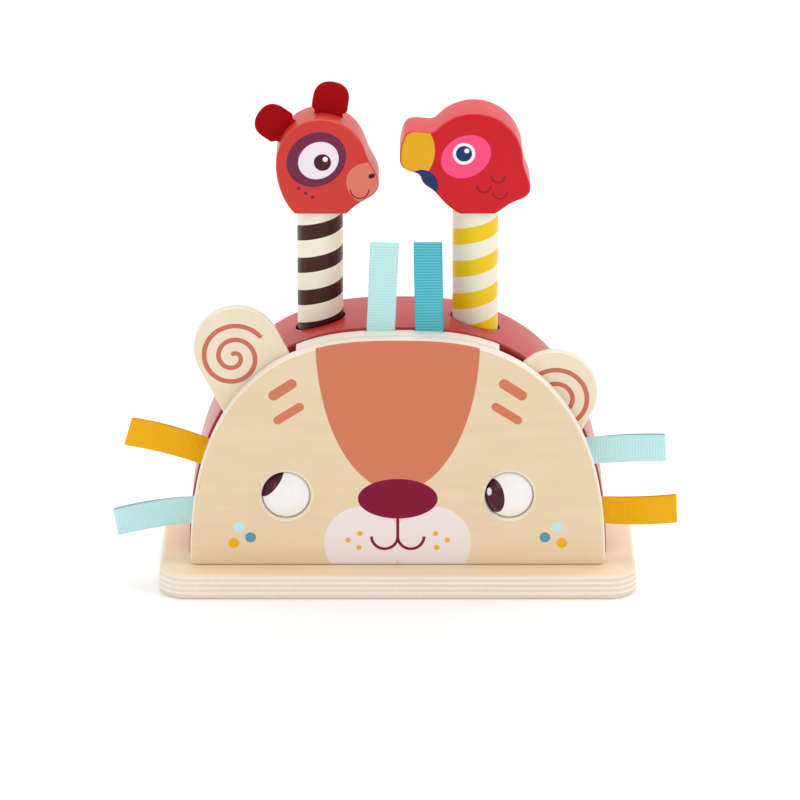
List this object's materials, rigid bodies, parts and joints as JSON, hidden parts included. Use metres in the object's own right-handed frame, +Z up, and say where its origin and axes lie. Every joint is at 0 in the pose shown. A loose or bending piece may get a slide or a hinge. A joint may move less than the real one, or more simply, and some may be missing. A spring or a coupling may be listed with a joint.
{
  "type": "pop up animal toy",
  "caption": "Plywood pop up toy: animal face panel with rolling eyes and sliding ears in front of a housing with sprung posts that carry animal heads.",
  "frame": {"origin": "middle of the base board's underside, on the surface the toy stands on", "axes": "+X to the right as seen facing the animal face, +Y from the face to the back, +Z up"},
  "size_m": [0.2851, 0.105, 0.2521],
  "materials": {
    "base_wood": "clear matt lacquer over birch plywood, ply lines on the edges",
    "face_wood": "printed birch plywood, satin",
    "ear_wood": "printed birch plywood, satin",
    "inner_wood": "bare beech or birch",
    "red_paint": "satin red paint on wood",
    "dark_stripes": "gloss dark brown paint with cream stripes on a beech dowel",
    "yellow_stripes": "gloss yellow paint with cream stripes on a beech dowel",
    "left_head_paint": "satin brick red paint on wood",
    "right_head_paint": "satin red paint on wood",
    "felt_red": "pressed wool felt, crimson",
    "felt_grey": "pressed felt, grey",
    "eye_white": "polished white plastic with a printed pupil",
    "cup_plastic": "moulded white plastic",
    "spring_steel": "zinc plated spring wire",
    "screw_steel": "zinc plated",
    "ribbon_mint": "grosgrain ribbon, pale mint",
    "ribbon_teal": "grosgrain ribbon, teal",
    "ribbon_amber": "grosgrain ribbon, amber"
  },
  "bodies": {
    "frame": {"base_board": "base_wood", "front_panel": "face_wood", "top_spacer": "inner_wood", "bottom_spacer": "inner_wood", "left_side_spacer": "inner_wood", "right_side_spacer": "inner_wood", "body_arch": "red_paint", "body_front_board": "red_paint", "body_back_board": "red_paint", "guide_shelf": "inner_wood", "left_eye_cup": "cup_plastic", "right_eye_cup": "cup_plastic", "left_spring": "spring_steel", "right_spring": "spring_steel", "left_spring_seat": "cup_plastic", "right_spring_seat": "cup_plastic", "top_left_ribbon": "ribbon_mint", "top_right_ribbon": "ribbon_teal", "upper_left_ribbon": "ribbon_amber", "lower_left_ribbon": "ribbon_mint", "upper_right_ribbon": "ribbon_mint", "lower_right_ribbon": "ribbon_amber", "base_screws": "screw_steel"},
    "left_plunger": {"left_spring_cap": "cup_plastic"},
    "left_figure": {"left_post": "dark_stripes", "left_stop_pin": "screw_steel", "left_head": "left_head_paint", "left_head_dowel": "inner_wood", "top_felt_ear": "felt_red", "back_felt_ear": "felt_red"},
    "right_plunger": {"right_spring_cap": "cup_plastic"},
    "right_figure": {"right_post": "yellow_stripes", "right_stop_pin": "screw_steel", "right_head": "right_head_paint", "right_head_dowel": "inner_wood"},
    "left_ear_slider": {"left_ear": "ear_wood", "left_ear_peg": "inner_wood", "left_ear_pad": "felt_grey"},
    "right_ear_slider": {"right_ear": "ear_wood", "right_ear_peg": "inner_wood", "right_ear_pad": "felt_grey"},
    "left_eye": {"left_eye_ball": "eye_white"},
    "right_eye": {"right_eye_ball": "eye_white"}
  },
  "joints": [
    {"name": "left_press", "type": "slide", "parent": "frame", "child": "left_plunger", "axis": [0, 0, 1], "range_m": [-0.048, 0], "stiffness_N_per_m": 120, "springref_m": 0.012, "deforming": ["left_spring"]},
    {"name": "right_press", "type": "slide", "parent": "frame", "child": "right_plunger", "axis": [0, 0, 1], "range_m": [-0.048, 0], "stiffness_N_per_m": 120, "springref_m": 0.012, "deforming": ["right_spring"]},
    {"name": "left_turn", "type": "hinge", "parent": "left_plunger", "child": "left_figure", "pos_m": [-0.039, 0.00925, 0.0825], "axis": [0, 0, 1], "continuous": true},
    {"name": "right_turn", "type": "hinge", "parent": "right_plunger", "child": "right_figure", "pos_m": [0.039, 0.00925, 0.0825], "axis": [0, 0, 1], "continuous": true},
    {"name": "left_ear_slide", "type": "slide", "parent": "frame", "child": "left_ear_slider", "axis": [-0.0872, 0, 0.9962], "range_m": [-0.0232, 0]},
    {"name": "right_ear_slide", "type": "slide", "parent": "frame", "child": "right_ear_slider", "axis": [0.0872, 0, 0.9962], "range_m": [0, 0.0232]},
    {"name": "left_eye_roll", "type": "hinge", "parent": "frame", "child": "left_eye", "pos_m": [-0.056, -0.02896, 0.0496], "axis": [0, 0, 1], "continuous": true},
    {"name": "right_eye_roll", "type": "hinge", "parent": "frame", "child": "right_eye", "pos_m": [0.056, -0.02896, 0.0496], "axis": [0, 0, 1], "continuous": true}
  ]
}
